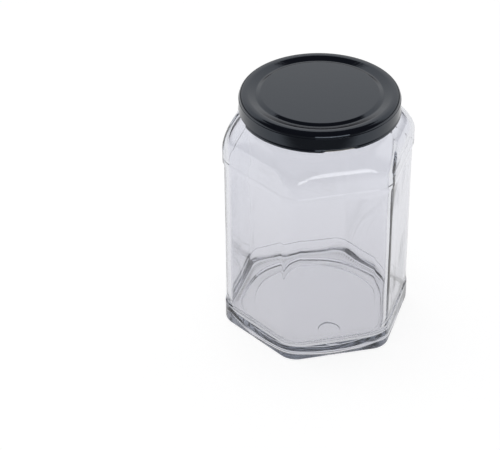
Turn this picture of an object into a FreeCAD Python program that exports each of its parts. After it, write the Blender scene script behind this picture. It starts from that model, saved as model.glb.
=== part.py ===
"""Hexagonal glass jar with a round mouth, closed by a pressed steel twist-off lid.

Frame: millimetres, +Z up, origin at the centre of the rim that the jar stands on.
Two of the six flats face front and back (-Y and +Y), so two corners lie on the X axis.
Two pieces: the moulded glass jar, which is one hollow solid, and the lid.
"""
import FreeCAD, Part
import Sketcher
import math
import os
from FreeCAD import Placement, Rotation, Vector

# name, millimetres or degrees, what it is
SIZES = [
    ("across_flats", 72.8, "glass body over two opposite flats, at the shoulder band"),
    ("base_inset", 0.2, "how far each flat of the base band lies inside the shoulder band"),
    ("panel_recess", 0.6, "how far each label panel lies inside the shoulder band"),
    ("corner_radius", 9.0, "outside rounding of the six upright corners"),
    ("wall", 2.1, "glass wall behind a label panel"),
    ("floor_thickness", 4.6, "height of the inside floor above the table"),
    ("floor_round", 4.0, "rounding between the inside floor and the walls"),
    ("bearing_width", 2.5, "flat rim that touches the table, behind the middle of a flat"),
    ("punt_edge", 0.6, "rise of the underside just inside that rim"),
    ("punt_depth", 1.3, "rise of the underside in its flat middle"),
    ("heel_radius", 1.2, "rounding where the flats turn in to the rim that the jar stands on"),
    ("base_band", 8.2, "plain band below the label panels, above the heel"),
    ("panel_height", 70.8, "label panel, from the base band to the shoulder band"),
    ("panel_slope", 0.5, "height of the sloped step at each end of a label panel"),
    ("shoulder_band", 6.2, "upright band above the label panels"),
    ("shoulder_height", 11.4, "rounded shoulder, from the band to the neck"),
    ("shoulder_turn", 50.0, "angle that the shoulder's profile turns through"),
    ("flat_lag", 1.35, "how much later the flats curve in than the corners do"),
    ("neck_fillet", 1.0, "hollow rounding between the shoulder and the neck"),
    ("neck_thickness", 1.6, "drop from the shoulder's top to the inside shoulder's top"),
    ("neck_diameter", 60.4, "neck wall that carries the thread"),
    ("neck_wall", 2.7, "glass between that wall and the mouth's bore"),
    ("rim_outer_round", 0.8, "rounding of the rim's outer edge"),
    ("rim_inner_round", 0.9, "rounding of the rim's inner edge"),
    ("thread_depth", 1.1, "how far a thread ramp stands out of the neck wall"),
    ("thread_root", 2.2, "height of a thread ramp just inside the neck wall"),
    ("thread_tip", 1.1, "height of a thread ramp at its tip"),
    ("thread_turn", 62.0, "angle that one thread ramp covers"),
    ("thread_lead", 15.0, "angle from a tightened lug to the middle of its ramp"),
    ("thread_tilt", 2.0, "slope of a thread ramp"),
    ("thread_clearance", 0.1, "gap between a tightened lug and its ramp"),
    ("punt_flat", 52.0, "flat middle of the underside, whose edge shows as a ring"),
    ("disc_mark", 9.0, "small round mould mark in the underside"),
    ("disc_offset", 21.0, "distance of that mark from the axis, towards the front"),
    ("disc_depth", 0.3, "depth of that mark"),
    ("lid_gap", 2.15, "clear height between the shoulder and the lid"),
    ("lid_height", 8.8, "lid, from the rolled edge to the crest"),
    ("lid_sheet", 0.3, "lacquered steel sheet"),
    ("lid_clearance", 1.5, "room between the thread ramps and the inside of the skirt"),
    ("lining", 0.65, "sealing compound that fills the channel over the jar's rim"),
    ("lining_lap", 0.35, "how far that filling reaches inside the rim's flat top"),
    ("panel_step", 1.9, "width of the step between the groove and the flat middle"),
    ("panel_drop", 0.3, "how far the lid's middle lies below its crest"),
    ("groove_depth", 1.0, "depth of the groove round the middle, below the crest"),
    ("groove_inset", 1.95, "from the inside of the filling in to the groove"),
    ("crest_width", 1.2, "flat top of the crest"),
    ("lid_round", 2.1, "rounding between the crest and the side"),
    ("ledge", 0.2, "step between the rounding and the skirt"),
    ("ledge_drop", 2.2, "depth of that step below the crest"),
    ("rolled_edge", 1.6, "diameter of the rolled edge"),
    ("edge_proud", 0.2, "how far the rolled edge stands out past the skirt"),
    ("lug_angle", 22.0, "angle that one lug covers"),
    ("lug_clearance", 0.55, "gap between a lug's tip and the neck wall"),
    ("lug_lift", 0.1, "height of a lug's underside above the rolled edge's"),
    ("lug_thickness", 1.2, "height of a lug"),
    ("press_height", 0.9, "height of the dent outside each lug"),
    ("press_depth", 0.8, "depth of the dent outside each lug"),
    ("lug_count", 4, "number of lugs, and of thread ramps"),
]

# Where along its turn the shoulder's sections lie, and the roundings' along theirs
SHOULDER_STEPS = [0.0, 0.2, 0.4, 0.6, 0.8, 1.0]
ROUND_STEPS = [0.0, 0.25, 0.5, 0.75, 1.0]

# How much less round a shoulder's top section is than the neck, on the radius
NECK_FLAT = 0.12
# How far the neck stands proud of the shoulder's top, and the shoulder's inside of the bore
NECK_LAP = 0.06
BORE_LAP = 0.2
# How far pieces reach into each other, or past a face they cut, before they are joined
OVERLAP = 0.5

doc = FreeCAD.newDocument("hexagonal_jar")
sheet = doc.addObject("Spreadsheet::Sheet", "sizes")
for row, (alias, value, meaning) in enumerate(SIZES, start=1):
    sheet.set(f"A{row}", meaning)
    sheet.set(f"B{row}", str(value))
    sheet.setAlias(f"B{row}", alias)
doc.recompute()


def number(expression):
    """The value that an expression over the sheet has now."""
    result = sheet.evalExpression(expression.replace("sizes.", ""))
    return float(getattr(result, "Value", result))


# ------------------------------------------------- heights and radii, as expressions
PANEL_FOOT = "(sizes.heel_radius + sizes.base_band)"
PANEL_TOP = f"({PANEL_FOOT} + sizes.panel_height)"
BAND_TOP = f"({PANEL_TOP} + sizes.shoulder_band)"
SHOULDER_TOP = f"({BAND_TOP} + sizes.shoulder_height)"
INSIDE_TOP = f"({SHOULDER_TOP} - sizes.neck_thickness)"
# Where the straight walls hand over to the smooth shoulder, so that it starts upright
LEAD_IN = f"({PANEL_TOP} + sizes.shoulder_band * 0.4)"
LID_FOOT = f"({SHOULDER_TOP} + sizes.lid_gap)"
CREST = f"({LID_FOOT} + sizes.lid_height)"
RIM = f"({CREST} - sizes.lid_sheet - sizes.lining)"
LUG_TOP = f"({LID_FOOT} + sizes.lug_lift + sizes.lug_thickness)"

HALF_BAND = "(sizes.across_flats / 2)"
HALF_BASE = "(sizes.across_flats / 2 - sizes.base_inset)"
HALF_PANEL = "(sizes.across_flats / 2 - sizes.panel_recess)"
HALF_INSIDE = f"({HALF_PANEL} - sizes.wall)"
INSIDE_CORNER = "(sizes.corner_radius - sizes.wall)"
NECK = "(sizes.neck_diameter / 2)"
NECK_ROOT = f"({NECK} + sizes.neck_fillet)"
BORE = f"({NECK} - sizes.neck_wall)"
SKIRT = f"({NECK} + sizes.thread_depth + sizes.lid_clearance + sizes.lid_sheet)"
LID_RADIUS = f"({SKIRT} + sizes.edge_proud)"
LUG_TIP = f"({NECK} + sizes.lug_clearance)"

# Corner reach of a sharp hexagon whose flats lie at a distance of 1
REACH = "(1 / cos(30 deg))"


# ------------------------------------------------------------------ sketches and solids
def bind(sketch, constraint, expression):
    """Add a constraint and tie its value to the sheet."""
    index = sketch.addConstraint(constraint)
    sketch.setExpression(f"Constraints[{index}]", expression)


def hexagon(name, height, half_flats, corner):
    """A level hexagon with rounded corners: height, half across flats, corner radius."""
    sketch = doc.addObject("Sketcher::SketchObject", name)
    flats = number(half_flats)
    radius = number(corner)
    half_turn = math.radians(30)
    middle = (flats - radius) / math.cos(half_turn)
    for side in range(6):
        turn = 2 * half_turn * side
        centre = Vector(middle * math.cos(turn), middle * math.sin(turn), 0)
        circle = Part.Circle(centre, Vector(0, 0, 1), radius)
        sketch.addGeometry(Part.ArcOfCircle(circle, turn - half_turn, turn + half_turn))
    for side in range(6):
        start = sketch.Geometry[side].EndPoint
        end = sketch.Geometry[(side + 1) % 6].StartPoint
        sketch.addGeometry(Part.LineSegment(start, end))
    for side in range(6):
        line = 6 + side
        sketch.addConstraint(Sketcher.Constraint("Tangent", side, 2, line, 1))
        sketch.addConstraint(Sketcher.Constraint("Tangent", line, 2, (side + 1) % 6, 1))
        if side > 0:
            sixth = Sketcher.Constraint("Angle", line - 1, line, 2 * half_turn)
            sketch.addConstraint(sixth)
            sketch.addConstraint(Sketcher.Constraint("Equal", 0, side))
        bind(sketch, Sketcher.Constraint("Distance", -1, 1, line, flats), half_flats)
    sketch.addConstraint(Sketcher.Constraint("Horizontal", 7))
    bind(sketch, Sketcher.Constraint("Radius", 0, radius), corner)
    sketch.setExpression("Placement.Base.z", height)
    return sketch


def loft(name, sections, ruled):
    """A solid through hexagons, each given as (height, half across flats, corner)."""
    piece = doc.addObject("Part::Loft", name)
    piece.Sections = [hexagon(f"{name}_{i}", *section) for i, section in enumerate(sections)]
    piece.Solid = True
    piece.Ruled = ruled
    return piece


def draw_outline(sketch, outline):
    """Draw a closed outline in a sketch, each point tied to the sheet.

    An entry is (radius, height) of a point. A third value makes the side that arrives
    there an arc: its radius, and +1 or -1 where the arc runs anticlockwise or clockwise.
    """
    points = [Vector(number(entry[0]), number(entry[1]), 0) for entry in outline]
    ends = []
    for index, entry in enumerate(outline):
        start, end = points[index - 1], points[index]
        if len(entry) == 2:
            side = sketch.addGeometry(Part.LineSegment(start, end))
            ends.append((side, 1, 2))
            continue
        radius, sense = number(entry[2][0]), entry[2][1]
        across = end.sub(start)
        normal = Vector(-across.y, across.x, 0).normalize()
        height = math.sqrt(max(radius ** 2 - (across.Length / 2) ** 2, 0))
        centre = (start + end) * 0.5 + normal * (height * sense)
        first, last = (start, end) if sense > 0 else (end, start)
        angles = [math.atan2(p.y - centre.y, p.x - centre.x) for p in (first, last)]
        circle = Part.Circle(centre, Vector(0, 0, 1), radius)
        side = sketch.addGeometry(Part.ArcOfCircle(circle, *angles))
        ends.append((side, 1, 2) if sense > 0 else (side, 2, 1))
        bind(sketch, Sketcher.Constraint("Radius", side, radius), entry[2][0])
    for index, entry in enumerate(outline):
        side, _, end = ends[index]
        following, start, _ = ends[(index + 1) % len(outline)]
        sketch.addConstraint(Sketcher.Constraint("Coincident", side, end, following, start))
        for kind, value, expression in (("DistanceX", points[index].x, entry[0]),
                                        ("DistanceY", points[index].y, entry[1])):
            if expression == "0":
                axis = -2 if kind == "DistanceX" else -1
                sketch.addConstraint(Sketcher.Constraint("PointOnObject", side, end, axis))
            else:
                bind(sketch, Sketcher.Constraint(kind, -1, 1, side, end, value), expression)


def upright_sketch(name):
    """A sketch in the XZ plane: its width is the radius, its height is Z."""
    sketch = doc.addObject("Sketcher::SketchObject", name)
    sketch.Placement = Placement(Vector(), Rotation(Vector(1, 0, 0), 90))
    return sketch


def turned(name, outline):
    """A solid of revolution about the Z axis."""
    sketch = upright_sketch(f"{name}_outline")
    draw_outline(sketch, outline)
    piece = doc.addObject("Part::Revolution", name)
    piece.Source = sketch
    piece.Axis = Vector(0, 0, 1)
    piece.Solid = True
    return piece


# ------------------------------------------------------------------------ glass: outside
def quarter(part):
    """Sine and cosine, as expressions, of a part of a quarter turn."""
    return f"sin({part} * 90 deg)", f"cos({part} * 90 deg)"


def heel_section(part):
    """A section of the rounded heel, from its underside (0) up to the flats (1)."""
    sine, cosine = quarter(part)
    inward = f"sizes.heel_radius * (1 - {sine})"
    return (f"sizes.heel_radius * (1 - {cosine})",
            f"{HALF_BASE} - {inward}",
            f"sizes.corner_radius - {inward}")


def shoulder_section(part, rise, half_flats, corner, neck):
    """A section of a shoulder that rises from the band's top and closes in to a neck.

    Its profile is an arc. The corners draw in first and the flats a little later, so the
    flats end in a line that bows upward between the corners.
    """
    turn = "sizes.shoulder_turn * 1 deg"
    risen = f"(sin({part} * {turn}) / sin({turn}))"
    run = f"((1 - cos({part} * {turn})) / (1 - cos({turn})))"
    tip = f"({half_flats} * {REACH} - {corner} * ({REACH} - 1))"
    reach = f"({tip} - ({tip} - {neck}) * {run})"
    narrowing = f"({half_flats} - {neck} + {NECK_FLAT})"
    flats = f"({half_flats} - {narrowing} * {run} ^ sizes.flat_lag)"
    return (f"{BAND_TOP} + {rise} * {risen}",
            flats,
            f"({flats} * {REACH} - {reach}) / ({REACH} - 1)")


outside_body = loft("outside_body", [
    *[heel_section(part) for part in ROUND_STEPS],
    (PANEL_FOOT, HALF_BASE, "sizes.corner_radius"),
    (f"{PANEL_FOOT} + sizes.panel_slope", HALF_PANEL, "sizes.corner_radius"),
    (f"{PANEL_TOP} - sizes.panel_slope", HALF_PANEL, "sizes.corner_radius"),
    (PANEL_TOP, HALF_BAND, "sizes.corner_radius"),
    (LEAD_IN, HALF_BAND, "sizes.corner_radius"),
], ruled=True)

outside_shoulder = loft("outside_shoulder", [
    (LEAD_IN, HALF_BAND, "sizes.corner_radius"),
    *[shoulder_section(part, "sizes.shoulder_height", HALF_BAND, "sizes.corner_radius",
                       f"({NECK_ROOT} - {NECK_LAP})") for part in SHOULDER_STEPS],
], ruled=False)

# The underside is dished, and stands on what is left round the dish
DISH = f"({HALF_BASE} - sizes.heel_radius - sizes.bearing_width)"
dish = turned("dish", [
    ("0", f"-{OVERLAP}"),
    (DISH, f"-{OVERLAP}"),
    (DISH, "sizes.punt_edge"),
    ("sizes.punt_flat / 2", "sizes.punt_depth"),
    ("0", "sizes.punt_depth"),
])
disc = doc.addObject("Part::Cylinder", "disc")
disc.setExpression("Radius", "sizes.disc_mark / 2")
disc.setExpression("Height", "sizes.punt_depth + sizes.disc_depth")
disc.setExpression("Placement.Base.y", "-sizes.disc_offset")

# ------------------------------------------------------------------------- glass: inside


def floor_section(part):
    """A section of the rounding between the inside floor (0) and the walls (1)."""
    sine, cosine = quarter(part)
    return (f"sizes.floor_thickness + sizes.floor_round * (1 - {cosine})",
            f"{HALF_INSIDE} - sizes.floor_round * (1 - {sine})",
            INSIDE_CORNER)


inside_body = loft("inside_body", [
    *[floor_section(part) for part in ROUND_STEPS],
    (LEAD_IN, HALF_INSIDE, INSIDE_CORNER),
], ruled=True)

inside_shoulder = loft("inside_shoulder", [
    (LEAD_IN, HALF_INSIDE, INSIDE_CORNER),
    *[shoulder_section(part, "(sizes.shoulder_height - sizes.neck_thickness)", HALF_INSIDE,
                       INSIDE_CORNER, f"({BORE} + {BORE_LAP})") for part in SHOULDER_STEPS],
], ruled=False)

# The mouth: a straight bore that flares over the rim's rounded inner edge
bore = turned("bore", [
    ("0", f"{INSIDE_TOP} - {OVERLAP}"),
    (BORE, f"{INSIDE_TOP} - {OVERLAP}"),
    (BORE, f"{RIM} - sizes.rim_inner_round"),
    (f"{BORE} + sizes.rim_inner_round", RIM, ("sizes.rim_inner_round", -1)),
    (f"{BORE} + sizes.rim_inner_round", f"{RIM} + {OVERLAP}"),
    ("0", f"{RIM} + {OVERLAP}"),
])

# --------------------------------------------------------------------------- glass: neck
# From inside the shoulder out to the fillet at the neck's root and up over the rim
neck = turned("neck", [
    ("0", INSIDE_TOP),
    (NECK_ROOT, INSIDE_TOP),
    (NECK_ROOT, SHOULDER_TOP),
    (NECK, f"{SHOULDER_TOP} + sizes.neck_fillet", ("sizes.neck_fillet", -1)),
    (NECK, f"{RIM} - sizes.rim_outer_round"),
    (f"{NECK} - sizes.rim_outer_round", RIM, ("sizes.rim_outer_round", 1)),
    ("0", RIM),
])

# One ramp of the thread for each lug: a short ridge that slopes down to its closed end
ramp_sketch = upright_sketch("ramp_outline")
draw_outline(ramp_sketch, [
    (f"{NECK} - {OVERLAP}", "-sizes.thread_root / 2"),
    (f"{NECK} + sizes.thread_depth", "-sizes.thread_tip / 2"),
    (f"{NECK} + sizes.thread_depth", "sizes.thread_tip / 2"),
    (f"{NECK} - {OVERLAP}", "sizes.thread_root / 2"),
])
# Half the height that a ramp covers, so that its lower end clears the lug under it
ramp_swing = number(f"{NECK} * sin(sizes.thread_turn / 2 * 1 deg) * tan(sizes.thread_tilt * 1 deg)")
ramp_height = number(f"{LUG_TOP} + sizes.thread_clearance + sizes.thread_root / 2") + ramp_swing
ramps = []
for index in range(int(number("sizes.lug_count"))):
    ramp = doc.addObject("Part::Revolution", f"ramp_{index}")
    ramp.Source = ramp_sketch
    ramp.Axis = Vector(0, 0, 1)
    ramp.setExpression("Angle", "sizes.thread_turn")
    ramp.Symmetric = True
    ramp.Solid = True
    tilt = Rotation(Vector(1, 0, 0), number("sizes.thread_tilt"))
    around = number(f"{index} * 360 / sizes.lug_count + sizes.thread_lead")
    ramp.Placement = Placement(Vector(0, 0, ramp_height), Rotation(Vector(0, 0, 1), around) * tilt)
    ramps.append(ramp)

# --------------------------------------------------------------------- glass: assembly
outside = doc.addObject("Part::MultiFuse", "outside")
outside.Shapes = [outside_body, outside_shoulder, neck, *ramps]
inside = doc.addObject("Part::MultiFuse", "inside")
inside.Shapes = [inside_body, inside_shoulder, bore]
underside = doc.addObject("Part::MultiFuse", "underside")
underside.Shapes = [dish, disc]
hollow = doc.addObject("Part::Cut", "hollow")
hollow.Base = outside
hollow.Tool = inside
jar = doc.addObject("Part::Cut", "jar")
jar.Base = hollow
jar.Tool = underside

# --------------------------------------------------------------------------------- lid
lid = doc.addObject("PartDesign::Body", "lid")
planes = {feature.Role: feature for feature in lid.Origin.OriginFeatures}


def lid_sketch(name):
    """A sketch of the lid's body in its XZ plane."""
    sketch = lid.newObject("Sketcher::SketchObject", name)
    sketch.AttachmentSupport = (planes["XZ_Plane"], [""])
    sketch.MapMode = "FlatFace"
    return sketch


def lid_turn(kind, name, sketch, angle):
    """A turned feature of the lid about its axis, added or cut away."""
    feature = lid.newObject(f"PartDesign::{kind}", name)
    feature.Profile = sketch
    feature.ReferenceAxis = (sketch, ["V_Axis"])
    feature.setExpression("Angle", angle)
    feature.Midplane = True
    return feature


# Radii of the outside, from the skirt in to the groove. The channel over the jar's rim is
# filled level, from the inside of the rounding to just inside the rim's flat top.
SIDE = f"({SKIRT} - sizes.ledge)"
CREST_OUT = f"({SIDE} - sizes.lid_round)"
CREST_IN = f"({CREST_OUT} - sizes.crest_width)"
INNER_ROUND = "(sizes.lid_round - sizes.lid_sheet)"
FILL_OUT = f"({CREST_OUT} + sqrt({INNER_ROUND} ^ 2 - ({INNER_ROUND} - sizes.lining) ^ 2))"
FILL_IN = f"({BORE} + sizes.rim_inner_round - sizes.lining_lap)"
GROOVE = f"({FILL_IN} - sizes.groove_inset)"
PANEL = f"({GROOVE} - sizes.panel_step)"
EDGE_MIDDLE = f"({LID_FOOT} + sizes.rolled_edge / 2)"

shell_sketch = lid_sketch("lid_section")
draw_outline(shell_sketch, [
    ("0", f"{CREST} - sizes.panel_drop"),
    ("0", f"{CREST} - sizes.panel_drop - sizes.lid_sheet"),
    (PANEL, f"{CREST} - sizes.panel_drop - sizes.lid_sheet"),
    (GROOVE, f"{CREST} - sizes.groove_depth - sizes.lid_sheet"),
    (FILL_IN, RIM),
    (FILL_OUT, RIM),
    (f"{SIDE} - sizes.lid_sheet", f"{CREST} - sizes.lid_round", (INNER_ROUND, -1)),
    (f"{SIDE} - sizes.lid_sheet", f"{CREST} - sizes.ledge_drop - sizes.lid_sheet"),
    (f"{SKIRT} - sizes.lid_sheet", f"{CREST} - sizes.ledge_drop - sizes.lid_sheet - sizes.ledge"),
    (f"{SKIRT} - sizes.lid_sheet", EDGE_MIDDLE),
    (SKIRT, EDGE_MIDDLE),
    (SKIRT, f"{CREST} - sizes.ledge_drop - sizes.ledge"),
    (SIDE, f"{CREST} - sizes.ledge_drop"),
    (SIDE, f"{CREST} - sizes.lid_round"),
    (CREST_OUT, CREST, ("sizes.lid_round", 1)),
    (CREST_IN, CREST),
    (GROOVE, f"{CREST} - sizes.groove_depth"),
    (PANEL, f"{CREST} - sizes.panel_drop"),
])
lid_turn("Revolution", "lid_shell", shell_sketch, "360")

edge_sketch = lid_sketch("rolled_edge_section")
edge_radius = number("sizes.rolled_edge / 2")
edge_centre = Vector(number(LID_RADIUS) - edge_radius, number(EDGE_MIDDLE), 0)
edge_sketch.addGeometry(Part.Circle(edge_centre, Vector(0, 0, 1), edge_radius))
bind(edge_sketch, Sketcher.Constraint("Radius", 0, edge_radius), "sizes.rolled_edge / 2")
bind(edge_sketch, Sketcher.Constraint("DistanceX", -1, 1, 0, 3, edge_centre.x),
     f"{LID_RADIUS} - sizes.rolled_edge / 2")
bind(edge_sketch, Sketcher.Constraint("DistanceY", -1, 1, 0, 3, edge_centre.y), EDGE_MIDDLE)
lid_turn("Revolution", "rolled_edge", edge_sketch, "360")

# Outside each lug the rolled edge is pressed in; the lug is what that press pushes inward
press_sketch = lid_sketch("press_section")
draw_outline(press_sketch, [
    (f"{LID_RADIUS} - sizes.press_depth", f"{LID_FOOT} - {OVERLAP}"),
    (f"{LID_RADIUS} + {OVERLAP}", f"{LID_FOOT} - {OVERLAP}"),
    (f"{LID_RADIUS} + {OVERLAP}", f"{LID_FOOT} + sizes.press_height"),
    (f"{LID_RADIUS} - sizes.press_depth", f"{LID_FOOT} + sizes.press_height"),
])
press = lid_turn("Groove", "lug_press", press_sketch, "sizes.lug_angle")

lug_sketch = lid_sketch("lug_section")
draw_outline(lug_sketch, [
    (LUG_TIP, f"{LID_FOOT} + sizes.lug_lift"),
    (f"{LID_RADIUS} - sizes.press_depth", f"{LID_FOOT} + sizes.lug_lift"),
    (f"{LID_RADIUS} - sizes.press_depth", LUG_TOP),
    (LUG_TIP, LUG_TOP),
])
lug = lid_turn("Revolution", "lug", lug_sketch, "sizes.lug_angle")

lugs = lid.newObject("PartDesign::PolarPattern", "lugs")
lugs.Originals = [press, lug]
lugs.Axis = (lug_sketch, ["V_Axis"])
lugs.Angle = 360
lugs.setExpression("Occurrences", "sizes.lug_count")
lid.Tip = lugs

# ------------------------------------------------------------------- check and write out
doc.recompute()
faults = [item.Name for item in doc.Objects if {"Invalid", "Error"} & set(item.State)]
if faults:
    raise RuntimeError(f"these objects failed to build: {faults}")

NODES = {"jar": jar, "lid": lid}
for label, item in NODES.items():
    item.Label = label
    shape = item.Shape
    if shape.isNull() or not shape.isValid() or len(shape.Solids) != 1:
        raise RuntimeError(f"{label} is not one valid solid")

os.makedirs("parts", exist_ok=True)
for label, item in NODES.items():
    item.Shape.exportStep(f"parts/{label}.step")
    box = item.Shape.BoundBox
    print(f"{label}: {item.Shape.Volume / 1000:.1f} cm3, "
          f"x {box.XMin:.2f} to {box.XMax:.2f}, y {box.YMin:.2f} to {box.YMax:.2f}, "
          f"z {box.ZMin:.2f} to {box.ZMax:.2f}")
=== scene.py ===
# %% [markdown]
# # A hexagonal glass jar with a black twist-off lid
#
# This lesson builds the looks of a small food jar: clear moulded glass with a six-sided
# base, six flat label panels, a soft shoulder and a round neck, closed by a steel lid with
# glossy black lacquer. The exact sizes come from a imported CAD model, which is loaded
# first, and every finished piece lies in the same place as that model.

# %% Load the exact model
import math
import bmesh
import bpy
from mathutils import Matrix, Quaternion, Vector, noise


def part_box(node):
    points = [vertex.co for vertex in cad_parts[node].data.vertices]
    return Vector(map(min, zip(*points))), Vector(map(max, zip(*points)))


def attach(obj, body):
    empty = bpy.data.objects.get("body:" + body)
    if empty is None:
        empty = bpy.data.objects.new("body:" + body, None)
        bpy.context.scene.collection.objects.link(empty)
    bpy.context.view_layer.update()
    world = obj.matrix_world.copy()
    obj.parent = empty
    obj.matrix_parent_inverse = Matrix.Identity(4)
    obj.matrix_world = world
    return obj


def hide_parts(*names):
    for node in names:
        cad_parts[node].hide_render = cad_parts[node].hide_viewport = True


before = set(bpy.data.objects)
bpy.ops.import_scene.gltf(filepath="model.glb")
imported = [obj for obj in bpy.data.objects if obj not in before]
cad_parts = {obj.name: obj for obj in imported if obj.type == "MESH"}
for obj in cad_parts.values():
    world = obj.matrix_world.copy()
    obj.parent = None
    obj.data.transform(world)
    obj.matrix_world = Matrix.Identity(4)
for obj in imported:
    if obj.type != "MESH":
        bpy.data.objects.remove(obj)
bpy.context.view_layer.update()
jar_low, jar_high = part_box("jar")
lid_low, lid_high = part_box("lid")

# %% [markdown]
# ## Measures
# Glass and tinplate are drawn in millimetres, so the shapes below are too, and each
# finished mesh is scaled down once at the end. The heights that the two parts must agree
# on, such as the rim and the lid's rolled edge, are read from the exact model.

# %% Heights in millimetres
MM = 0.001
rim = jar_high.z / MM
lid_foot = lid_low.z / MM
crest = lid_high.z / MM
lid_radius = lid_high.x / MM
print(f"glass from {jar_low.z / MM:.2f} to {rim:.2f}")
print(f"lid from {lid_foot:.2f} to {crest:.2f}, radius {lid_radius:.2f}")


# %% Turn a finished bmesh into an object
def finish_mesh(bm, name, finish):
    """Scale to metres, make an object at the origin and give it one finish."""
    bmesh.ops.scale(bm, vec=(MM, MM, MM), verts=bm.verts)
    mesh = bpy.data.meshes.new(name)
    bm.to_mesh(mesh)
    bm.free()
    mesh.polygons.foreach_set("use_smooth", [True] * len(mesh.polygons))
    mesh.materials.append(finish)
    thing = bpy.data.objects.new(name, mesh)
    bpy.context.scene.collection.objects.link(thing)
    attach(thing, "root")
    print(name, len(mesh.polygons), "faces")
    return thing


# %% [markdown]
# ## The finish of the glass
# Soda-lime glass bends light by an index of about 1.52 and is almost colourless. A jar's
# walls still take a little out of the light, here a faint grey with a touch of lavender.
# It is made in two ways. The surface has a tint, which adds up by itself because light
# crosses several surfaces, and which is deepened towards the base as painted shade. The glass
# also absorbs light inside, so a long way through it, as along an edge, is darker than a short
# one. Glass from a mould is never quite flat, so a very weak bump makes the reflections swim a
# little.

# %% A material with an empty node tree
def new_finish(name):
    """A material, its node tree and a helper that adds a node and sets its inputs."""
    material = bpy.data.materials.new(name)
    material.use_nodes = True
    tree = material.node_tree
    tree.nodes.clear()

    def add(kind, **inputs):
        node = tree.nodes.new(kind)
        for key, value in inputs.items():
            node.inputs[key.replace("_", " ")].default_value = value
        return node

    return material, tree, add


# %% A colour between two others
def mix_colours(tree, share, first, second):
    """The first colour at share 0 and the second at 1. A colour is a socket or a triple."""
    node = tree.nodes.new("ShaderNodeMix")
    node.data_type = "RGBA"
    tree.links.new(share, node.inputs["Factor"])
    for name, colour in (("A", first), ("B", second)):
        if isinstance(colour, tuple):
            node.inputs[name].default_value = (*colour, 1.0)
        else:
            tree.links.new(colour, node.inputs[name])
    return node.outputs["Result"]


# %% Clear glass
# The lower tint is painted shade: it darkens the glass towards the base.
base_shade_tint, high_tint = (0.862, 0.860, 0.888), (0.93, 0.935, 0.97)
shade_full_height, shade_gone_height = 0.015, 0.085


def clear_glass():
    """Clear moulded soda-lime glass with a faint tint, deepened towards the base as painted
    shade.
    """
    material, tree, add = new_finish("clear_glass")
    link = tree.links.new
    place = add("ShaderNodeTexCoord")
    swell = add("ShaderNodeTexNoise", Scale=45.0, Detail=1.0, Roughness=0.4)
    link(place.outputs["Object"], swell.inputs["Vector"])
    ripple = add("ShaderNodeBump", Strength=0.05, Distance=0.002)
    link(swell.outputs["Fac"], ripple.inputs["Height"])
    split = add("ShaderNodeSeparateXYZ")
    link(place.outputs["Object"], split.inputs["Vector"])
    rise = add("ShaderNodeMapRange", From_Min=shade_full_height, From_Max=shade_gone_height)
    link(split.outputs["Z"], rise.inputs["Value"])
    # Painted shade: the tint deepens from the upper tint to the lower one towards the base.
    tint_and_shade = mix_colours(tree, rise.outputs["Result"], base_shade_tint, high_tint)
    skin = add("ShaderNodeBsdfPrincipled", Roughness=0.0, IOR=1.52, Transmission_Weight=1.0)
    link(tint_and_shade, skin.inputs["Base Color"])
    link(ripple.outputs["Normal"], skin.inputs["Normal"])
    body = add("ShaderNodeVolumeAbsorption", Density=28.0)
    body.inputs["Color"].default_value = (0.30, 0.34, 0.42, 1.0)
    out = add("ShaderNodeOutputMaterial")
    link(skin.outputs["BSDF"], out.inputs["Surface"])
    link(body.outputs["Volume"], out.inputs["Volume"])
    return material


glass_finish = clear_glass()
print("finish:", glass_finish.name)

# %% [markdown]
# ## The outline of the glass
# Seen from above, the base and the body are a hexagon with rounded corners, and the neck
# is round. Both outlines can be described by one number for each direction: how far the
# glass reaches from the axis. That makes one shell possible, from the underside up the
# outside, over the rim, down the inside and to the middle of the floor, so the glass is a
# single closed skin with a real wall thickness, which refraction needs.

# %% How far a rounded hexagon reaches in a direction
SIXTH, HALF_SIXTH = math.radians(60), math.radians(30)
COS30, SIN30 = math.cos(HALF_SIXTH), math.sin(HALF_SIXTH)


def hexagon_reach(flats, rounding, angle):
    """Distance from the axis: flats is half the width over two sides."""
    turn = abs((angle + HALF_SIXTH) % SIXTH - HALF_SIXTH)
    middle = (flats - rounding) / COS30
    end = math.atan2(rounding * SIN30, middle + rounding * COS30)
    if turn >= end:
        return flats / math.cos(HALF_SIXTH - turn)
    return middle * math.cos(turn) + math.sqrt(rounding ** 2 - (middle * math.sin(turn)) ** 2)


half_band, corner = 36.4, 9.0
print("corner to corner:", round(2 * hexagon_reach(half_band, corner, 0.0), 2), "mm")


# %% Stations along the glass
def round_station(radius, height):
    """A round ring of the glass."""
    return lambda angle: (radius, height)


def hexagon_station(flats, rounding, height):
    """A six-sided ring of the glass."""
    return lambda angle: (hexagon_reach(flats, rounding, angle), height)


def along(first, last, count):
    """Evenly spaced numbers from first to last, both included."""
    return [first + (last - first) * i / (count - 1) for i in range(count)]


def limit(value):
    """The value, held between 0 and 1."""
    return min(max(value, 0.0), 1.0)


print("five numbers from 0 to 1:", along(0.0, 1.0, 5))

# %% [markdown]
# ## Underside and base
# The jar stands on a narrow rim with a rounded six-sided heel. Inside it the glass rises
# in a shallow round dish with a flat middle, whose edge shows through the floor as a ring,
# and a small round mould mark is pressed in near the front. The heel is knurled on real
# jars, because bare smooth glass would crack on a hot conveyor: fine radial ribs, which
# look like a grey speckled band. The ribs are real geometry here, three points to a rib.

# %% The flat of the dish with the mould mark
dish_height = 1.3
mark_radius, mark_middle = 4.5, 21.0
mark_depth, mark_edge = 0.3, 0.3


def mark(radius):
    """A ring of the dish's flat middle, with the small round mark pressed up into it."""
    def reach(angle):
        across = radius * math.cos(angle)
        forward = -radius * math.sin(angle) - mark_middle
        inside_mark = limit((mark_radius - math.hypot(across, forward)) / mark_edge + 0.5)
        return radius, dish_height + mark_depth * inside_mark

    return reach


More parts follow.
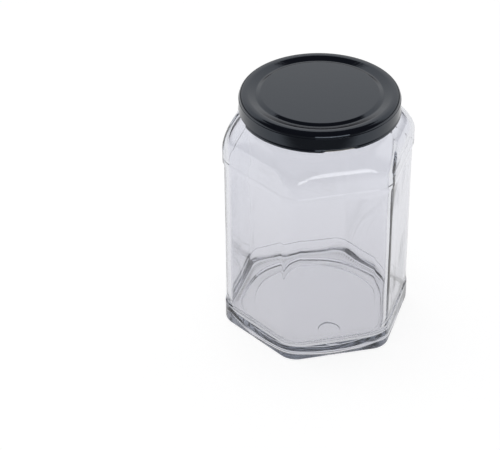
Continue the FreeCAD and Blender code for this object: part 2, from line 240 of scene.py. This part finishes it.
print("mark:", 2 * mark_radius, "mm across,", mark_middle, "mm in front of the axis")

# %% Rings of the knurled heel
ribs, rib_points = 180, 3
around = rib_points * ribs
half_base, heel = 36.2, 1.2


def rib(angle):
    """1 on a rib and 0 in the groove between two ribs."""
    return 1.0 if round(angle / (2 * math.pi) * around) % rib_points == 0 else 0.0


def knurled(part, depth):
    """A ring of the rounded heel whose grooves lie deeper in the glass than its ribs.

    The part is the angle round the heel, 0 at the standing face and 90 on the flats.
    """
    turn = math.radians(part)

    def reach(angle):
        cut = heel - depth * (1 - rib(angle))
        inward = heel - cut * math.sin(turn)
        height = heel - cut * math.cos(turn)
        return hexagon_reach(half_base - inward, corner - inward, angle), height

    return reach


print(ribs, "ribs,", around, "points in a ring")


# %% Underside stations, from the middle outwards
def blend(first, second, part):
    """A ring between two others."""
    def reach(angle):
        (near, low), (far, high) = first(angle), second(angle)
        return near + (far - near) * part, low + (high - low) * part

    return reach


underside = [mark(radius) for radius in [4.0, 10.0, 15.5] + along(16.2, 25.8, 20)]
dish_edge = [(26.0, 1.27), (26.3, 1.1), (26.5, 1.06)]
dish_slope = [(29.4, 0.85), (32.3, 0.63), (32.45, 0.5)]
underside += [round_station(radius, height) for radius, height in dish_edge + dish_slope]
rim_edge, heel_start = round_station(32.55, 0.1), knurled(0, 0.2)
underside += [rim_edge, blend(rim_edge, heel_start, 0.1), blend(rim_edge, heel_start, 0.8)]
rib_height = 0.25
underside += [knurled(part, rib_height) for part in (5, 15, 27, 39, 51)]
underside += [knurled(63, 0.0)]
print(len(underside), "rings in the underside and the heel")

# %% [markdown]
# ## Body
# Above the heel the six flats rise straight. The label panels lie a little deeper than the
# bands above and below them, with a soft sloped step between. These are the lines that
# catch the light on a jar like this, so each step gets its own rings, and the rings next
# to it keep the flats flat up to the step.

# %% Body stations
half_panel, slope = 35.8, 0.5
panel_foot, panel_top = 9.4, 80.2
soft_step = [(-0.2, 0.0), (0.0, 0.03), (0.15, 0.15), (0.85, 0.85), (1.0, 0.97), (1.2, 1.0)]


def step(low, high, inner, outer):
    """A slope between two depths, with its two edges slightly rounded."""
    return [hexagon_station(inner + (outer - inner) * moved, corner, low + (high - low) * part)
            for part, moved in soft_step]


body = [knurled(part, 0.0) for part in (69, 76, 83, 90)]
body += [hexagon_station(half_base, corner, z) for z in (2.5, 4.0, panel_foot - 0.6)]
body += step(panel_foot, panel_foot + slope, half_base, half_panel)
body += [hexagon_station(half_panel, corner, z) for z in (12.0, 44.0, 78.0)]
body += step(panel_top - slope, panel_top, half_panel, half_band)
body += [hexagon_station(half_band, corner, z) for z in (82.0, 84.0)]
print(len(body), "rings in the body")

# %% [markdown]
# ## Shoulder and neck
# The shoulder turns from a hexagon into a circle. Its corners draw in first and its flats
# a little later, so each flat ends in a line that bows upward between two corners. A
# small hollow leads into the neck, which carries four short thread ramps that the lid's
# lugs pull against.

# %% Shoulder stations
band_top, shoulder_top = 86.4, 97.8
shoulder_rise = shoulder_top - band_top
neck_radius, bore_radius, hollow = 30.2, 27.5, 1.0
TURN, LAG = math.radians(50), 1.35
tuck = 0.12


def shoulder(part, rise, flats, rounding, neck):
    """One ring of a shoulder: part runs from 0 at the band to 1 at the neck.

    The flats end a tuck inside the neck's circle, so the last ring is almost round.
    """
    run = (1 - math.cos(part * TURN)) / (1 - math.cos(TURN))
    tip = flats / COS30 - rounding * (1 / COS30 - 1)
    reach = tip - (tip - neck) * run
    side = flats - (flats - neck + tuck) * run ** LAG
    round_edge = (side / COS30 - reach) / (1 / COS30 - 1)
    height = band_top + rise * math.sin(part * TURN) / math.sin(TURN)
    return hexagon_station(side, round_edge, height)


outside_shoulder = [shoulder(part, shoulder_rise, half_band, corner, neck_radius + 0.94)
                    for part in along(0.0, 0.97, 20)]
print(len(outside_shoulder), "rings in the outside shoulder")

# %% A ring of the neck with the thread
thread_height, thread_depth = 102.99, 1.1
thread_reach, thread_flank = 1.1, 0.55
thread_half, thread_start = math.radians(31), math.radians(15)
thread_tilt, thread_end = math.radians(2), math.radians(2)


def from_quarter(angle):
    """The turn from the nearest of four directions a quarter turn apart."""
    return (angle + math.pi / 4) % (math.pi / 2) - math.pi / 4


def threaded(height):
    """A ring of the neck, pushed out where one of the four thread ramps passes."""
    def reach(angle):
        turn = from_quarter(angle - thread_start)
        climb = neck_radius * math.sin(turn) * math.tan(thread_tilt)
        flank = (thread_reach - abs(height - thread_height - climb)) / thread_flank
        end = (thread_half - abs(turn)) / thread_end
        return neck_radius + thread_depth * limit(min(flank, end)), height

    return reach


print("over the thread:", round(2 * (neck_radius + thread_depth), 1), "mm")


# %% Neck stations, up the outside, over the rim and down the bore
def arc_stations(middle_radius, middle_height, size, angles):
    """Round rings along an arc, at angles in degrees from straight outwards."""
    turns = [math.radians(angle) for angle in angles]
    return [round_station(middle_radius + size * math.cos(turn),
                          middle_height + size * math.sin(turn)) for turn in turns]


outer_lip, inner_lip = 0.8, 0.9
neck = arc_stations(neck_radius + hollow, shoulder_top + hollow, hollow, along(270.0, 180.0, 6))
neck += [threaded(z) for z in [100.4] + along(101.0, 104.9, 14) + [106.4]]
neck += arc_stations(neck_radius - outer_lip, rim - outer_lip, outer_lip, along(0.0, 90.0, 5))
neck += arc_stations(bore_radius + inner_lip, rim - inner_lip, inner_lip, along(90.0, 180.0, 5))
neck += [round_station(bore_radius, z) for z in (102.0, 97.2)]
print(len(neck), "rings in the neck")

# %% [markdown]
# ## The inside
# The inside is blown, not moulded: air pushes the soft glass against the mould, so only
# the outside is crisp. The inner wall is smoother and a little uneven, and it rounds into
# the floor. Slow noise moves it by a fifth of a millimetre or so, which gives the wavy
# lines that thick corners of real jars show.

# %% Inside stations
wall, floor_height, floor_round = 2.1, 4.6, 4.0
half_inside, inside_corner = half_panel - wall, corner - wall
inside_drop, bore_ease, corner_spread = 1.6, 0.3, 2.2
inside = [shoulder(part, shoulder_rise - inside_drop, half_inside, inside_corner,
                   bore_radius + bore_ease) for part in along(1.0, 0.0, 18)]
inside += [hexagon_station(half_inside, inside_corner, z) for z in along(82.0, 14.0, 9)]
for part in along(90.0, 0.0, 8):
    turn = math.radians(part)
    inset = floor_round * (1 - math.sin(turn))
    height = floor_height + floor_round * (1 - math.cos(turn))
    rounding = inside_corner + corner_spread * inset
    inside.append(hexagon_station(half_inside - inset, rounding, height))
inside += [round_station(radius, floor_height) for radius in (27.0, 20.0, 12.0, 5.0)]
print(len(inside), "rings in the inside")

# %% [markdown]
# ## One closed skin
# The skin grows from a small circle in the middle of the underside. Its open edge is
# extruded again and again, and each new ring is laid on the next station, up the outside
# and down the inside. The two small holes left on the axis are closed with fans.


# %% Grow the skin ring by ring
def lay_ring(vertices, station):
    """Move each point of a ring, in its own direction, onto a station."""
    for vertex in vertices:
        angle = math.atan2(vertex.co.y, vertex.co.x)
        radius, height = station(angle)
        vertex.co = (radius * math.cos(angle), radius * math.sin(angle), height)


def next_ring(bm, edges, station):
    """Extrude the open edge of the skin and lay the new ring on a station."""
    made = bmesh.ops.extrude_edge_only(bm, edges=edges)["geom"]
    fresh = set(part for part in made if isinstance(part, bmesh.types.BMVert))
    lay_ring(fresh, station)
    return [part for part in made if isinstance(part, bmesh.types.BMEdge)
            and part.verts[0] in fresh and part.verts[1] in fresh]


bm = bmesh.new()
bmesh.ops.create_circle(bm, segments=around, radius=1.0)
lay_ring(bm.verts, round_station(2.0, dish_height))
first_ring = bm.edges[:]
edges = first_ring
for station in underside + body + outside_shoulder + neck:
    edges = next_ring(bm, edges, station)
outer_count = len(bm.verts)
for station in inside:
    edges = next_ring(bm, edges, station)
print(outer_count, "points outside,", len(bm.verts) - outer_count, "inside")

# %% Make the blown side uneven
waves = ((0.22, 0.035), (0.08, 0.11))
calm_from, calm_over = 94.0, 10.0
floor_from, floor_over = 9.0, 4.0


def unevenness(point):
    """How far the blown inner wall stands off its drawn place, in millimetres."""
    return sum(size * noise.noise(point * pitch) for size, pitch in waves)


bm.verts.ensure_lookup_table()
for vertex in bm.verts[outer_count:]:
    shift = unevenness(vertex.co) * limit((calm_from - vertex.co.z) / calm_over)
    upward = limit((floor_from - vertex.co.z) / floor_over)
    sideways = Vector((vertex.co.x, vertex.co.y, 0)).normalized()
    vertex.co += sideways * (shift * (1 - upward)) + Vector((0, 0, shift * upward))
floor_middle = floor_height + unevenness(Vector((0, 0, floor_height)))
print("middle of the floor:", round(floor_middle, 2), "mm")


# %% Close the skin
def close_pole(bm, edges, height):
    """Close an open ring with a fan round one point on the axis."""
    made = bmesh.ops.extrude_edge_only(bm, edges=edges)["geom"]
    tips = [part for part in made if isinstance(part, bmesh.types.BMVert)]
    bmesh.ops.pointmerge(bm, verts=tips, merge_co=(0, 0, height))


close_pole(bm, edges, floor_middle)
close_pole(bm, first_ring, dish_height)
bmesh.ops.remove_doubles(bm, verts=bm.verts, dist=0.0001)
bmesh.ops.recalc_face_normals(bm, faces=bm.faces)
print("glass volume:", round(bm.calc_volume() / 1000, 1), "cm3")
glass = finish_mesh(bm, "glass_jar", glass_finish)
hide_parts("jar")

# %% [markdown]
# ## The finish of the lid
# The lid is tinplate with black lacquer, baked hard and glossy. The black itself is nearly
# without colour, so what shows is reflection: grey where the lid mirrors the white part of
# the room and black where it mirrors the dark part. One glossy layer does this. Its shine
# varies a little, as on a lid that has been handled, and it has the faint orange-peel
# ripple of stoved lacquer.

# %% Black lacquer
def black_lacquer():
    """Glossy black stoved lacquer on steel, with a painted blue cast on its reflections."""
    material, tree, add = new_finish("black_lacquer")
    link = tree.links.new
    place = add("ShaderNodeTexCoord")
    peel = add("ShaderNodeTexNoise", Scale=900.0, Detail=2.0, Roughness=0.5)
    link(place.outputs["Object"], peel.inputs["Vector"])
    ripple = add("ShaderNodeBump", Strength=0.06, Distance=0.0003)
    link(peel.outputs["Fac"], ripple.inputs["Height"])
    handled = add("ShaderNodeTexNoise", Scale=60.0, Detail=5.0, Roughness=0.6)
    link(place.outputs["Object"], handled.inputs["Vector"])
    sheen = add("ShaderNodeMapRange", From_Min=0.35, From_Max=0.75, To_Min=0.02, To_Max=0.06)
    link(handled.outputs["Fac"], sheen.inputs["Value"])
    lacquer = add("ShaderNodeBsdfPrincipled", IOR=1.6)
    lacquer.inputs["Base Color"].default_value = (0.006, 0.007, 0.011, 1.0)
    # Painted reflection colour: the specular tint gives the reflections the blue cast of a
    # bluish room.
    lacquer.inputs["Specular Tint"].default_value = (0.74, 0.85, 1.0, 1.0)
    link(sheen.outputs["Result"], lacquer.inputs["Roughness"])
    link(ripple.outputs["Normal"], lacquer.inputs["Normal"])
    out = add("ShaderNodeOutputMaterial")
    link(lacquer.outputs["BSDF"], out.inputs["Surface"])
    return material


lid_finish = black_lacquer()
print("finish:", lid_finish.name)


# %% Two plain finishes for the inside of the lid
def plain_finish(name, colour, roughness, mottle):
    """One colour, whose roughness varies a little from place to place."""
    material, tree, add = new_finish(name)
    link = tree.links.new
    place = add("ShaderNodeTexCoord")
    cloud = add("ShaderNodeTexNoise", Scale=mottle, Detail=3.0)
    link(place.outputs["Object"], cloud.inputs["Vector"])
    span = add("ShaderNodeMapRange", To_Min=roughness - 0.06, To_Max=roughness + 0.06)
    link(cloud.outputs["Fac"], span.inputs["Value"])
    coat = add("ShaderNodeBsdfPrincipled", IOR=1.5)
    coat.inputs["Base Color"].default_value = (*colour, 1.0)
    link(span.outputs["Result"], coat.inputs["Roughness"])
    out = add("ShaderNodeOutputMaterial")
    link(coat.outputs["BSDF"], out.inputs["Surface"])
    return material


enamel_finish = plain_finish("pale_enamel", (0.72, 0.68, 0.58), 0.32, 300.0)
seal_finish = plain_finish("sealing_compound", (0.80, 0.78, 0.72), 0.55, 500.0)
print("finishes:", enamel_finish.name, seal_finish.name)

# %% [markdown]
# ## The lid
# A twist-off lid is pressed from one round of thin sheet, so it is a lathe shape: a flat
# middle, a groove round it, a crest, a rounded edge with a small ledge, a straight skirt
# and a rolled edge. The outline is drawn once as a few points, down the outside and back
# up the inside. Its corners are rounded as a press leaves them, and it is spun about the
# axis. The inside is lined with pale enamel, which only shows from below.

# %% A lathe for outlines
def lathe(outline, steps):
    """Spin an outline about the Z axis.

    Each entry of the outline is (radius, height, rounding of that corner). An outline
    whose last point is its first makes a ring, and others start or end on the axis.
    Corners with the same rounding are bevelled together.
    """
    bm = bmesh.new()
    closed = outline[0] == outline[-1]
    if closed:
        outline = outline[:-1]
    corners = [bm.verts.new((radius, 0, height)) for radius, height, _ in outline]
    for start, end in zip(corners, corners[1:] + corners[:1] * closed):
        bm.edges.new((start, end))
    for rounding in sorted(set(entry[2] for entry in outline) - {0}):
        chosen = [vertex for vertex, entry in zip(corners, outline)
                  if entry[2] == rounding and vertex.is_valid]
        bmesh.ops.bevel(bm, geom=chosen, offset=rounding, offset_type="OFFSET", segments=6,
                        profile=0.5, affect="VERTICES", material=-1)
    bmesh.ops.spin(bm, geom=bm.verts[:] + bm.edges[:], cent=(0, 0, 0), axis=(0, 0, 1),
                   angle=2 * math.pi, steps=steps, use_merge=True)
    bmesh.ops.remove_doubles(bm, verts=bm.verts, dist=0.0001)
    bmesh.ops.recalc_face_normals(bm, faces=bm.faces)
    return bm


# %% The lid's measures
sheet = 0.3
skirt, side, curl = 33.1, 32.9, 1.6
crest_in, groove, panel = 29.6, 26.1, 24.2
curl_inside = lid_radius - curl
panel_height, groove_height = crest - 0.3, crest - 1.0
ledge_top, ledge_foot = crest - 2.2, crest - 2.4
print(f"panel {2 * panel:.1f} across, {crest - panel_height:.1f} below the crest")

# %% Spin the lid
lid_outside = [
    (0.0, panel_height, 0),
    (panel, panel_height, 0.25),
    (groove, groove_height, 0.35),
    (crest_in, crest, 0.5),
    (side, crest, 2.05),
    (side, ledge_top, 0.04),
    (skirt, ledge_foot, 0.06),
    (skirt, lid_foot + 1.5, 0.1),
    (lid_radius, lid_foot + 1.1, 0.3),
    (lid_radius, lid_foot, 0.5),
]
# The roundings of this side differ slightly, so no bevel takes both sides of the sheet.
lid_inside = [
    (curl_inside, lid_foot, 0.51),
    (curl_inside, lid_foot + 1.4, 0.31),
    (skirt - sheet, lid_foot + 1.6, 0.11),
    (skirt - sheet, ledge_foot - sheet, 0.061),
    (side - sheet, ledge_top - sheet, 0.062),
    (side - sheet, crest - sheet, 1.7),
    (crest_in, crest - sheet, 0.4),
    (groove, groove_height - sheet, 0.352),
    (panel, panel_height - sheet, 0.252),
    (0.0, panel_height - sheet, 0),
]
bm = lathe(lid_outside + lid_inside, 240)
print(len(bm.faces), "faces in the spun lid")

# %% [markdown]
# ## Lugs
# Four lugs pull the lid down along the thread. The press dents the rolled edge from
# outside, and the curl is pushed in below the thread as a tongue. Each dent is made on
# the spun shell by moving the points of the edge inwards over 22 degrees, with soft ends.

# %% Press the lugs in
lug_half, lug_end = math.radians(11), math.radians(3)
lug_height, lug_ramp = 1.4, 0.5
dent_outside, dent_inside = 0.8, 0.95
roll_height, roll_from = 1.45, 30.0


def lug_share(x, y):
    """1 within a lug's angle and 0 outside it, with short ramps between."""
    off = abs(from_quarter(math.atan2(y, x)))
    share = limit((lug_half - off) / lug_end + 0.5)
    return share * share * (3 - 2 * share)


for vertex in bm.verts:
    radius = math.hypot(vertex.co.x, vertex.co.y)
    above = vertex.co.z - lid_foot
    if above < roll_height and radius > roll_from:
        outer = (radius - curl_inside) / curl
        dent = dent_outside * outer + dent_inside * (1 - outer)
        upright = limit((lug_height - above) / lug_ramp)
        inward = lug_share(vertex.co.x, vertex.co.y) * dent * upright
        vertex.co.x *= (radius - inward) / radius
        vertex.co.y *= (radius - inward) / radius
bmesh.ops.recalc_face_normals(bm, faces=bm.faces)
lid_shell = finish_mesh(bm, "lid_shell", lid_finish)
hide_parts("lid")


# %% Give the inside its enamel
def lies_inside(face):
    """Whether a face of the lid's shell belongs to the side that is turned to the glass."""
    middle = face.center / MM
    radius = math.hypot(middle.x, middle.y)
    under = face.normal.z < -0.1 and radius < skirt - sheet + 0.05
    to_axis = face.normal.x * middle.x + face.normal.y * middle.y < 0
    above_curl = middle.z > lid_foot + 0.8
    outer_groove = middle.z > groove_height - 0.05 and face.normal.z > 0
    return (under or to_axis and above_curl) and not outer_groove


lid_shell.data.materials.append(enamel_finish)
enamelled = [face for face in lid_shell.data.polygons if lies_inside(face)]
for face in enamelled:
    face.material_index = 1
print(len(enamelled), "faces of the lid wear enamel")

# %% [markdown]
# ## Sealing compound
# A ring of soft compound fills the channel over the jar's rim. It is poured in wet while
# the lid spins, and its level underside is what the rim presses on. The exact model has
# one finish for the whole lid.

# %% The sealing ring
seal_inside, seal_round = 28.05, 0.08
seal_foot = rim + 0.02
seal_outline = [
    (seal_inside, seal_foot, seal_round),
    (31.6, seal_foot, seal_round),
    (31.8, rim + 0.25, seal_round),
    (30.7, rim + 0.6, seal_round),
    (28.6, rim + 0.3, seal_round),
    (seal_inside, seal_foot, seal_round),
]
bm = lathe(seal_outline, 180)
seal = finish_mesh(bm, "sealing_ring", seal_finish)
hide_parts("lid")

# %% [markdown]
# ## Floor, room and light
# The jar stands on a white sheet. Glass and gloss have little colour of their own, so the
# room is what gives them shape. Here only the far side of the room is white, from a little
# above the floor to high up, and the rest is nearly black: the contrast draws dark lines
# on the glass and dark arcs on the lid. The eye itself sees white all round, because the
# Light Path node tells its rays from those that met glass or gloss first.

# %% Small node helpers
def calculate(tree, operation, first, second):
    """A math node whose inputs are sockets or numbers."""
    node = tree.nodes.new("ShaderNodeMath")
    node.operation = operation
    for socket, value in zip(node.inputs, (first, second)):
        if isinstance(value, float):
            socket.default_value = value
        else:
            tree.links.new(value, socket)
    return node.outputs[0]


def fade(tree, value, start, end):
    """0 before start, 1 past end and a smooth ramp between."""
    node = tree.nodes.new("ShaderNodeMapRange")
    node.interpolation_type = "SMOOTHSTEP"
    node.inputs["From Min"].default_value = start
    node.inputs["From Max"].default_value = end
    tree.links.new(value, node.inputs["Value"])
    return node.outputs["Result"]


def along_floor(tree, split, x_share, y_share):
    """How far a place or a direction lies along a level line."""
    return calculate(tree, "ADD", calculate(tree, "MULTIPLY", split.outputs["X"], x_share),
                     calculate(tree, "MULTIPLY", split.outputs["Y"], y_share))


# %% White floor
BACK_X, BACK_Y = 0.255, 0.967
floor_seen, floor_mirrored, floor_grey = 0.86, 0.76, 0.3
gloss_from, gloss_to = 0.12, 0.20
far_from, far_to, far_loss = 0.17, 0.3, 0.8


def white_floor():
    """A white sheet that also glows for the eye and for rays from glass or gloss.

    In gloss it ends a little in front of the jar. Through glass it dims away from the jar.
    """
    material, tree, add = new_finish("white_floor")
    link = tree.links.new
    place = add("ShaderNodeTexCoord")
    split = add("ShaderNodeSeparateXYZ")
    link(place.outputs["Object"], split.inputs["Vector"])
    nearer = along_floor(tree, split, -BACK_X, -BACK_Y)
    sheet = calculate(tree, "SUBTRACT", 1.0, fade(tree, nearer, gloss_from, gloss_to))
    ray = add("ShaderNodeLightPath")
    in_gloss = calculate(tree, "MULTIPLY", ray.outputs["Is Glossy Ray"], sheet)
    away = add("ShaderNodeVectorMath")
    away.operation = "LENGTH"
    link(place.outputs["Object"], away.inputs[0])
    dimming = fade(tree, away.outputs["Value"], far_from, far_to)
    near = calculate(tree, "SUBTRACT", 1.0, calculate(tree, "MULTIPLY", dimming, far_loss))
    through = calculate(tree, "MULTIPLY", ray.outputs["Is Transmission Ray"], near)
    met = calculate(tree, "MAXIMUM", in_gloss, through)
    mirrored = calculate(tree, "MULTIPLY", met, floor_mirrored)
    seen = calculate(tree, "MULTIPLY", ray.outputs["Is Camera Ray"], floor_seen)
    glow = add("ShaderNodeEmission")
    link(calculate(tree, "MAXIMUM", mirrored, seen), glow.inputs["Strength"])
    paper = add("ShaderNodeBsdfDiffuse")
    paper.inputs["Color"].default_value = (floor_grey, floor_grey, floor_grey, 1.0)
    both = add("ShaderNodeAddShader")
    link(glow.outputs["Emission"], both.inputs[0])
    link(paper.outputs["BSDF"], both.inputs[1])
    out = add("ShaderNodeOutputMaterial")
    link(both.outputs["Shader"], out.inputs["Surface"])
    return material


# %% Lay the floor
floor_radius, floor_gap = 3.0, 0.00005
bm = bmesh.new()
bmesh.ops.create_circle(bm, segments=96, radius=floor_radius, cap_ends=True)
mesh = bpy.data.meshes.new("floor")
bm.to_mesh(mesh)
bm.free()
mesh.materials.append(white_floor())
mesh.transform(Matrix.Translation((0, 0, -floor_gap)))
floor = bpy.data.objects.new("floor", mesh)
bpy.context.scene.collection.objects.link(floor)
print("floor:", 2 * floor_radius, "m across")

# %% The room
white, nearly_black = (1.0, 1.0, 1.0), (0.06, 0.06, 0.07)
world = bpy.data.worlds.new("room")
bpy.context.scene.world = world
world.use_nodes = True
tree = world.node_tree
tree.nodes.clear()
direction = tree.nodes.new("ShaderNodeTexCoord")
split = tree.nodes.new("ShaderNodeSeparateXYZ")
tree.links.new(direction.outputs["Generated"], split.inputs["Vector"])
far_side = fade(tree, along_floor(tree, split, BACK_X, BACK_Y), -0.1, 0.3)
below_ceiling = calculate(tree, "SUBTRACT", 1.0, fade(tree, split.outputs["Z"], 0.75, 0.80))
above_floor = fade(tree, split.outputs["Z"], 0.05, 0.3)
upright = calculate(tree, "MULTIPLY", below_ceiling, above_floor)
lit = calculate(tree, "MULTIPLY", upright, far_side)
walls = mix_colours(tree, lit, nearly_black, white)
ray = tree.nodes.new("ShaderNodeLightPath")
shown = mix_colours(tree, ray.outputs["Is Camera Ray"], walls, white)
glow = tree.nodes.new("ShaderNodeBackground")
tree.links.new(shown, glow.inputs["Color"])
out = tree.nodes.new("ShaderNodeOutputWorld")
tree.links.new(glow.outputs["Background"], out.inputs["Surface"])
print("room:", len(tree.nodes), "nodes")


# %% Lamps
def lamp(name, place, aim, width, height, radiance):
    """A rectangular soft lamp. A radiance of 1 looks as bright as the white of the room."""
    light = bpy.data.lights.new(name, "AREA")
    light.shape = "RECTANGLE"
    light.size, light.size_y = width, height
    light.energy = radiance * math.pi * width * height
    holder = bpy.data.objects.new(name, light)
    holder.location = place
    turn = (Vector(aim) - Vector(place)).to_track_quat("-Z", "Y")
    holder.rotation_euler = turn.to_euler()
    holder.visible_camera = False
    bpy.context.scene.collection.objects.link(holder)
    print(name, round(light.energy, 3), "W")
    return holder


top = lamp("top_box", (-0.2, -0.1, 1.2), (0, 0, 0.05), 1.0, 1.0, 1.2)
top.visible_glossy = False
top.visible_transmission = False
lamp("front_strip", (0.03, -0.60, 0.075), (0, 0, 0.095), 0.50, 0.18, 2.6)
lamp("front_spark", (0.01, -0.58, 0.05), (0, 0, 0.1), 0.03, 0.015, 12.0)

# %% [markdown]
# ## The camera
# The camera stands above the jar and to its left, far enough away for a mild perspective,
# and looks past the jar's left side, so the jar stands right of the middle. Light in clear
# glass crosses many surfaces, so its paths may be long before they are cut off.

# %% The camera
camera_place = Vector((-0.16278, -0.61653, 0.48612))
looked_at = Vector((-0.03031, -0.00375, 0.05))
camera_roll = math.radians(-0.542)
view = bpy.data.cameras.new("camera")
view.sensor_width = 36.0
view.lens = 131.16
view.clip_start = 0.05
camera = bpy.data.objects.new("camera", view)
camera.location = camera_place
aim = looked_at - camera_place
camera.rotation_mode = "QUATERNION"
camera.rotation_quaternion = aim.to_track_quat("-Z", "Y") @ Quaternion((0, 0, 1), camera_roll)
bpy.context.scene.collection.objects.link(camera)
bpy.context.scene.camera = camera
print("camera distance:", round(aim.length, 3), "m")

# %% Plain colours and long light paths
scene = bpy.context.scene
scene.view_settings.view_transform = "Standard"
scene.cycles.max_bounces = 96
scene.cycles.transmission_bounces = 96
scene.cycles.glossy_bounces = 16
print("view transform:", scene.view_settings.view_transform)
